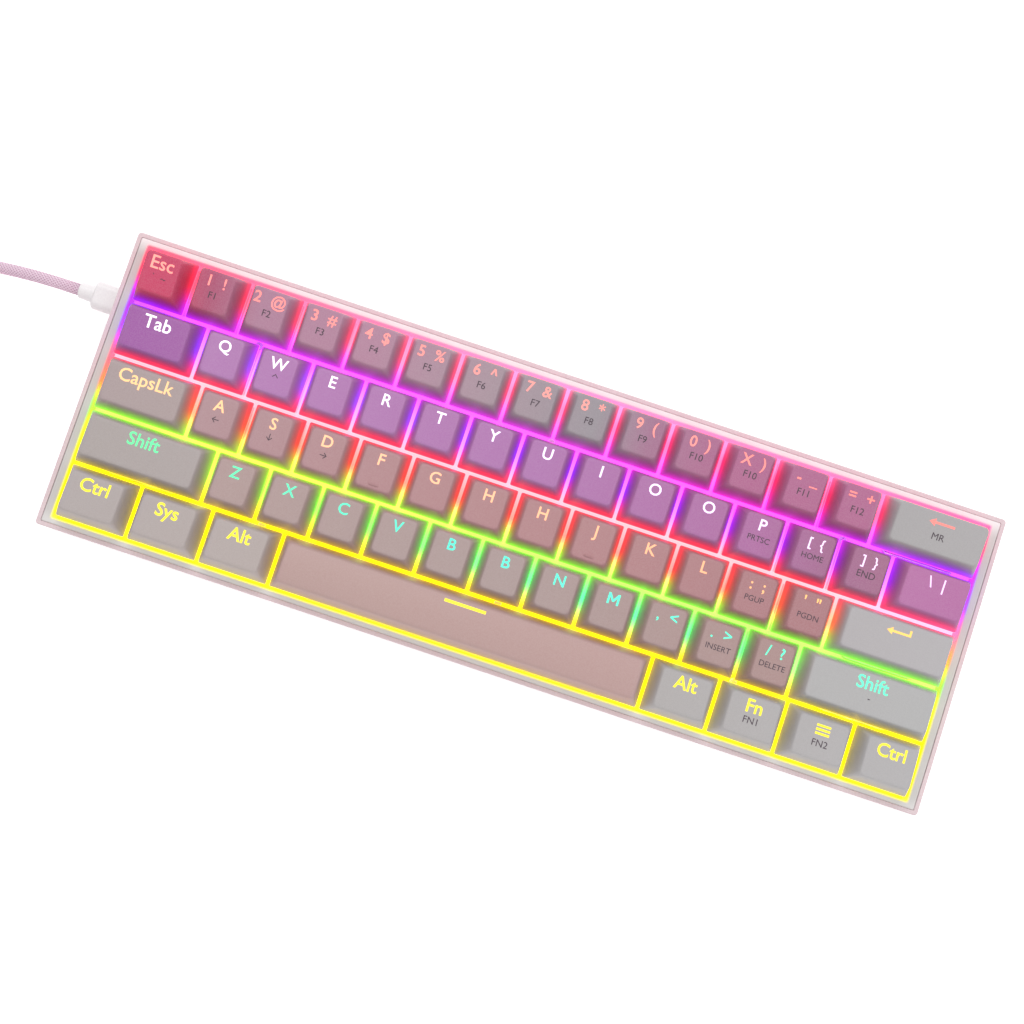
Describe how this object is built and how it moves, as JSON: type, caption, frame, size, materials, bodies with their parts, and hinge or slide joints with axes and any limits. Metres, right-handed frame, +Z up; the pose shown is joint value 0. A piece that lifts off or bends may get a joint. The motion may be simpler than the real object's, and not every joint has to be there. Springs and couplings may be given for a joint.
{
  "type": "mechanical keyboard",
  "caption": "Compact backlit mechanical keyboard with sculpted keycaps over sprung switches, a slim rimmed case and a detachable braided lead.",
  "frame": {"origin": "on the table under the middle of the case, between its four feet", "axes": "+X to the user's right along the rows, +Y away from the user, +Z up"},
  "size_m": [0.3986, 0.1537, 0.04],
  "materials": {
    "keycaps": "fine matte double-shot plastic, lets the backlight glow through its legends and skirts",
    "case_plastic": "pale pink moulded plastic, fine texture",
    "frame_plastic": "white moulded plastic, satin",
    "plate_paint": "white powder-coated steel",
    "board": "glass-fibre board with green solder mask",
    "chip": "black moulded epoxy",
    "switch_white": "milky moulded nylon",
    "switch_clear": "clear polycarbonate",
    "spring_steel": "drawn spring wire",
    "contact_metal": "gold-flashed copper alloy",
    "lamp": "clear lens over a lamp chip",
    "screw_steel": "zinc-plated steel",
    "rubber": "moulded non-slip rubber",
    "connector_metal": "nickel-plated stamped steel",
    "plug_plastic": "white soft moulded plastic",
    "braid": "pink woven braid over the cable's jacket"
  },
  "bodies": {
    "case": {"bottom_case": "case_plastic", "top_frame": "frame_plastic", "switch_plate": "plate_paint", "circuit_board": "board", "board_chips": "chip", "switch_lower_housings": "switch_white", "switch_upper_housings": "switch_clear", "switch_springs": "spring_steel", "switch_contact_blades": "contact_metal", "backlight_lamps": "lamp", "stabiliser_housings": "switch_white", "stabiliser_wires": "spring_steel", "plate_screws": "screw_steel", "rubber_feet": "rubber", "usb_c_socket": "connector_metal", "usb_c_plug_shell": "connector_metal", "usb_c_plug_housing": "plug_plastic", "cable_lead": "braid", "cable_coil": "braid", "cable_tail": "braid", "usb_a_plug_housing": "plug_plastic", "usb_a_plug_shell": "connector_metal"},
    "escape_key": {"escape_key": "keycaps"},
    "number_keys_1_2": {"number_keys_1_2": "keycaps"},
    "number_keys_3_4": {"number_keys_3_4": "keycaps"},
    "number_keys_5_6": {"number_keys_5_6": "keycaps"},
    "number_keys_7_8": {"number_keys_7_8": "keycaps"},
    "number_keys_9_0": {"number_keys_9_0": "keycaps"},
    "symbol_keys_x_minus_equals": {"symbol_keys_x_minus_equals": "keycaps"},
    "backspace_key": {"backspace_key": "keycaps"},
    "tab_key": {"tab_key": "keycaps"},
    "letter_keys_q_w": {"letter_keys_q_w": "keycaps"},
    "letter_keys_e_r": {"letter_keys_e_r": "keycaps"},
    "letter_keys_t_y": {"letter_keys_t_y": "keycaps"},
    "letter_keys_u_i": {"letter_keys_u_i": "keycaps"},
    "letter_keys_o_o": {"letter_keys_o_o": "keycaps"},
    "letter_keys_p_brackets": {"letter_keys_p_brackets": "keycaps"},
    "backslash_key": {"backslash_key": "keycaps"},
    "caps_lock_key": {"caps_lock_key": "keycaps"},
    "letter_keys_a_s": {"letter_keys_a_s": "keycaps"},
    "letter_keys_d_f": {"letter_keys_d_f": "keycaps"},
    "letter_keys_g_h": {"letter_keys_g_h": "keycaps"},
    "letter_keys_h_j_k": {"letter_keys_h_j_k": "keycaps"},
    "letter_keys_l_semicolon_quote": {"letter_keys_l_semicolon_quote": "keycaps"},
    "enter_key": {"enter_key": "keycaps"},
    "left_shift_key": {"left_shift_key": "keycaps"},
    "letter_keys_z_x": {"letter_keys_z_x": "keycaps"},
    "letter_keys_c_v": {"letter_keys_c_v": "keycaps"},
    "letter_keys_b_b": {"letter_keys_b_b": "keycaps"},
    "letter_keys_n_m": {"letter_keys_n_m": "keycaps"},
    "punctuation_keys_comma_dot_slash": {"punctuation_keys_comma_dot_slash": "keycaps"},
    "right_shift_key": {"right_shift_key": "keycaps"},
    "left_ctrl_key": {"left_ctrl_key": "keycaps"},
    "system_key": {"system_key": "keycaps"},
    "left_alt_key": {"left_alt_key": "keycaps"},
    "space_bar": {"space_bar": "keycaps"},
    "right_alt_key": {"right_alt_key": "keycaps"},
    "fn_key": {"fn_key": "keycaps"},
    "menu_key": {"menu_key": "keycaps"},
    "right_ctrl_key": {"right_ctrl_key": "keycaps"}
  },
  "joints": [
    {"name": "escape_press", "type": "slide", "parent": "case", "child": "escape_key", "axis": [0, 0.0872, -0.9962], "range_m": [0, 0.004], "stiffness_N_per_m": 67, "springref_m": -0.005, "deforming": ["switch_springs"]},
    {"name": "number_1_2_press", "type": "slide", "parent": "case", "child": "number_keys_1_2", "axis": [0, 0.0872, -0.9962], "range_m": [0, 0.004], "stiffness_N_per_m": 134, "springref_m": -0.005, "deforming": ["switch_springs"]},
    {"name": "number_3_4_press", "type": "slide", "parent": "case", "child": "number_keys_3_4", "axis": [0, 0.0872, -0.9962], "range_m": [0, 0.004], "stiffness_N_per_m": 134, "springref_m": -0.005, "deforming": ["switch_springs"]},
    {"name": "number_5_6_press", "type": "slide", "parent": "case", "child": "number_keys_5_6", "axis": [0, 0.0872, -0.9962], "range_m": [0, 0.004], "stiffness_N_per_m": 134, "springref_m": -0.005, "deforming": ["switch_springs"]},
    {"name": "number_7_8_press", "type": "slide", "parent": "case", "child": "number_keys_7_8", "axis": [0, 0.0872, -0.9962], "range_m": [0, 0.004], "stiffness_N_per_m": 134, "springref_m": -0.005, "deforming": ["switch_springs"]},
    {"name": "number_9_0_press", "type": "slide", "parent": "case", "child": "number_keys_9_0", "axis": [0, 0.0872, -0.9962], "range_m": [0, 0.004], "stiffness_N_per_m": 134, "springref_m": -0.005, "deforming": ["switch_springs"]},
    {"name": "symbol_x_minus_equals_press", "type": "slide", "parent": "case", "child": "symbol_keys_x_minus_equals", "axis": [0, 0.0872, -0.9962], "range_m": [0, 0.004], "stiffness_N_per_m": 201, "springref_m": -0.005, "deforming": ["switch_springs"]},
    {"name": "backspace_press", "type": "slide", "parent": "case", "child": "backspace_key", "axis": [0, 0.0872, -0.9962], "range_m": [0, 0.004], "stiffness_N_per_m": 67, "springref_m": -0.005, "deforming": ["switch_springs"]},
    {"name": "tab_press", "type": "slide", "parent": "case", "child": "tab_key", "axis": [0, 0.0872, -0.9962], "range_m": [0, 0.004], "stiffness_N_per_m": 67, "springref_m": -0.005, "deforming": ["switch_springs"]},
    {"name": "q_w_press", "type": "slide", "parent": "case", "child": "letter_keys_q_w", "axis": [0, 0.0872, -0.9962], "range_m": [0, 0.004], "stiffness_N_per_m": 134, "springref_m": -0.005, "deforming": ["switch_springs"]},
    {"name": "e_r_press", "type": "slide", "parent": "case", "child": "letter_keys_e_r", "axis": [0, 0.0872, -0.9962], "range_m": [0, 0.004], "stiffness_N_per_m": 134, "springref_m": -0.005, "deforming": ["switch_springs"]},
    {"name": "t_y_press", "type": "slide", "parent": "case", "child": "letter_keys_t_y", "axis": [0, 0.0872, -0.9962], "range_m": [0, 0.004], "stiffness_N_per_m": 134, "springref_m": -0.005, "deforming": ["switch_springs"]},
    {"name": "u_i_press", "type": "slide", "parent": "case", "child": "letter_keys_u_i", "axis": [0, 0.0872, -0.9962], "range_m": [0, 0.004], "stiffness_N_per_m": 134, "springref_m": -0.005, "deforming": ["switch_springs"]},
    {"name": "o_o_press", "type": "slide", "parent": "case", "child": "letter_keys_o_o", "axis": [0, 0.0872, -0.9962], "range_m": [0, 0.004], "stiffness_N_per_m": 134, "springref_m": -0.005, "deforming": ["switch_springs"]},
    {"name": "p_brackets_press", "type": "slide", "parent": "case", "child": "letter_keys_p_brackets", "axis": [0, 0.0872, -0.9962], "range_m": [0, 0.004], "stiffness_N_per_m": 201, "springref_m": -0.005, "deforming": ["switch_springs"]},
    {"name": "backslash_press", "type": "slide", "parent": "case", "child": "backslash_key", "axis": [0, 0.0872, -0.9962], "range_m": [0, 0.004], "stiffness_N_per_m": 67, "springref_m": -0.005, "deforming": ["switch_springs"]},
    {"name": "caps_lock_press", "type": "slide", "parent": "case", "child": "caps_lock_key", "axis": [0, 0.0872, -0.9962], "range_m": [0, 0.004], "stiffness_N_per_m": 67, "springref_m": -0.005, "deforming": ["switch_springs"]},
    {"name": "a_s_press", "type": "slide", "parent": "case", "child": "letter_keys_a_s", "axis": [0, 0.0872, -0.9962], "range_m": [0, 0.004], "stiffness_N_per_m": 134, "springref_m": -0.005, "deforming": ["switch_springs"]},
    {"name": "d_f_press", "type": "slide", "parent": "case", "child": "letter_keys_d_f", "axis": [0, 0.0872, -0.9962], "range_m": [0, 0.004], "stiffness_N_per_m": 134, "springref_m": -0.005, "deforming": ["switch_springs"]},
    {"name": "g_h_press", "type": "slide", "parent": "case", "child": "letter_keys_g_h", "axis": [0, 0.0872, -0.9962], "range_m": [0, 0.004], "stiffness_N_per_m": 134, "springref_m": -0.005, "deforming": ["switch_springs"]},
    {"name": "h_j_k_press", "type": "slide", "parent": "case", "child": "letter_keys_h_j_k", "axis": [0, 0.0872, -0.9962], "range_m": [0, 0.004], "stiffness_N_per_m": 201, "springref_m": -0.005, "deforming": ["switch_springs"]},
    {"name": "l_semicolon_quote_press", "type": "slide", "parent": "case", "child": "letter_keys_l_semicolon_quote", "axis": [0, 0.0872, -0.9962], "range_m": [0, 0.004], "stiffness_N_per_m": 201, "springref_m": -0.005, "deforming": ["switch_springs"]},
    {"name": "enter_press", "type": "slide", "parent": "case", "child": "enter_key", "axis": [0, 0.0872, -0.9962], "range_m": [0, 0.004], "stiffness_N_per_m": 67, "springref_m": -0.005, "deforming": ["switch_springs"]},
    {"name": "left_shift_press", "type": "slide", "parent": "case", "child": "left_shift_key", "axis": [0, 0.0872, -0.9962], "range_m": [0, 0.004], "stiffness_N_per_m": 67, "springref_m": -0.005, "deforming": ["switch_springs"]},
    {"name": "z_x_press", "type": "slide", "parent": "case", "child": "letter_keys_z_x", "axis": [0, 0.0872, -0.9962], "range_m": [0, 0.004], "stiffness_N_per_m": 134, "springref_m": -0.005, "deforming": ["switch_springs"]},
    {"name": "c_v_press", "type": "slide", "parent": "case", "child": "letter_keys_c_v", "axis": [0, 0.0872, -0.9962], "range_m": [0, 0.004], "stiffness_N_per_m": 134, "springref_m": -0.005, "deforming": ["switch_springs"]},
    {"name": "b_b_press", "type": "slide", "parent": "case", "child": "letter_keys_b_b", "axis": [0, 0.0872, -0.9962], "range_m": [0, 0.004], "stiffness_N_per_m": 134, "springref_m": -0.005, "deforming": ["switch_springs"]},
    {"name": "n_m_press", "type": "slide", "parent": "case", "child": "letter_keys_n_m", "axis": [0, 0.0872, -0.9962], "range_m": [0, 0.004], "stiffness_N_per_m": 134, "springref_m": -0.005, "deforming": ["switch_springs"]},
    {"name": "punctuation_comma_dot_slash_press", "type": "slide", "parent": "case", "child": "punctuation_keys_comma_dot_slash", "axis": [0, 0.0872, -0.9962], "range_m": [0, 0.004], "stiffness_N_per_m": 201, "springref_m": -0.005, "deforming": ["switch_springs"]},
    {"name": "right_shift_press", "type": "slide", "parent": "case", "child": "right_shift_key", "axis": [0, 0.0872, -0.9962], "range_m": [0, 0.004], "stiffness_N_per_m": 67, "springref_m": -0.005, "deforming": ["switch_springs"]},
    {"name": "left_ctrl_press", "type": "slide", "parent": "case", "child": "left_ctrl_key", "axis": [0, 0.0872, -0.9962], "range_m": [0, 0.004], "stiffness_N_per_m": 67, "springref_m": -0.005, "deforming": ["switch_springs"]},
    {"name": "system_press", "type": "slide", "parent": "case", "child": "system_key", "axis": [0, 0.0872, -0.9962], "range_m": [0, 0.004], "stiffness_N_per_m": 67, "springref_m": -0.005, "deforming": ["switch_springs"]},
    {"name": "left_alt_press", "type": "slide", "parent": "case", "child": "left_alt_key", "axis": [0, 0.0872, -0.9962], "range_m": [0, 0.004], "stiffness_N_per_m": 67, "springref_m": -0.005, "deforming": ["switch_springs"]},
    {"name": "space_bar_press", "type": "slide", "parent": "case", "child": "space_bar", "axis": [0, 0.0872, -0.9962], "range_m": [0, 0.004], "stiffness_N_per_m": 67, "springref_m": -0.005, "deforming": ["switch_springs"]},
    {"name": "right_alt_press", "type": "slide", "parent": "case", "child": "right_alt_key", "axis": [0, 0.0872, -0.9962], "range_m": [0, 0.004], "stiffness_N_per_m": 67, "springref_m": -0.005, "deforming": ["switch_springs"]},
    {"name": "fn_press", "type": "slide", "parent": "case", "child": "fn_key", "axis": [0, 0.0872, -0.9962], "range_m": [0, 0.004], "stiffness_N_per_m": 67, "springref_m": -0.005, "deforming": ["switch_springs"]},
    {"name": "menu_press", "type": "slide", "parent": "case", "child": "menu_key", "axis": [0, 0.0872, -0.9962], "range_m": [0, 0.004], "stiffness_N_per_m": 67, "springref_m": -0.005, "deforming": ["switch_springs"]},
    {"name": "right_ctrl_press", "type": "slide", "parent": "case", "child": "right_ctrl_key", "axis": [0, 0.0872, -0.9962], "range_m": [0, 0.004], "stiffness_N_per_m": 67, "springref_m": -0.005, "deforming": ["switch_springs"]}
  ]
}
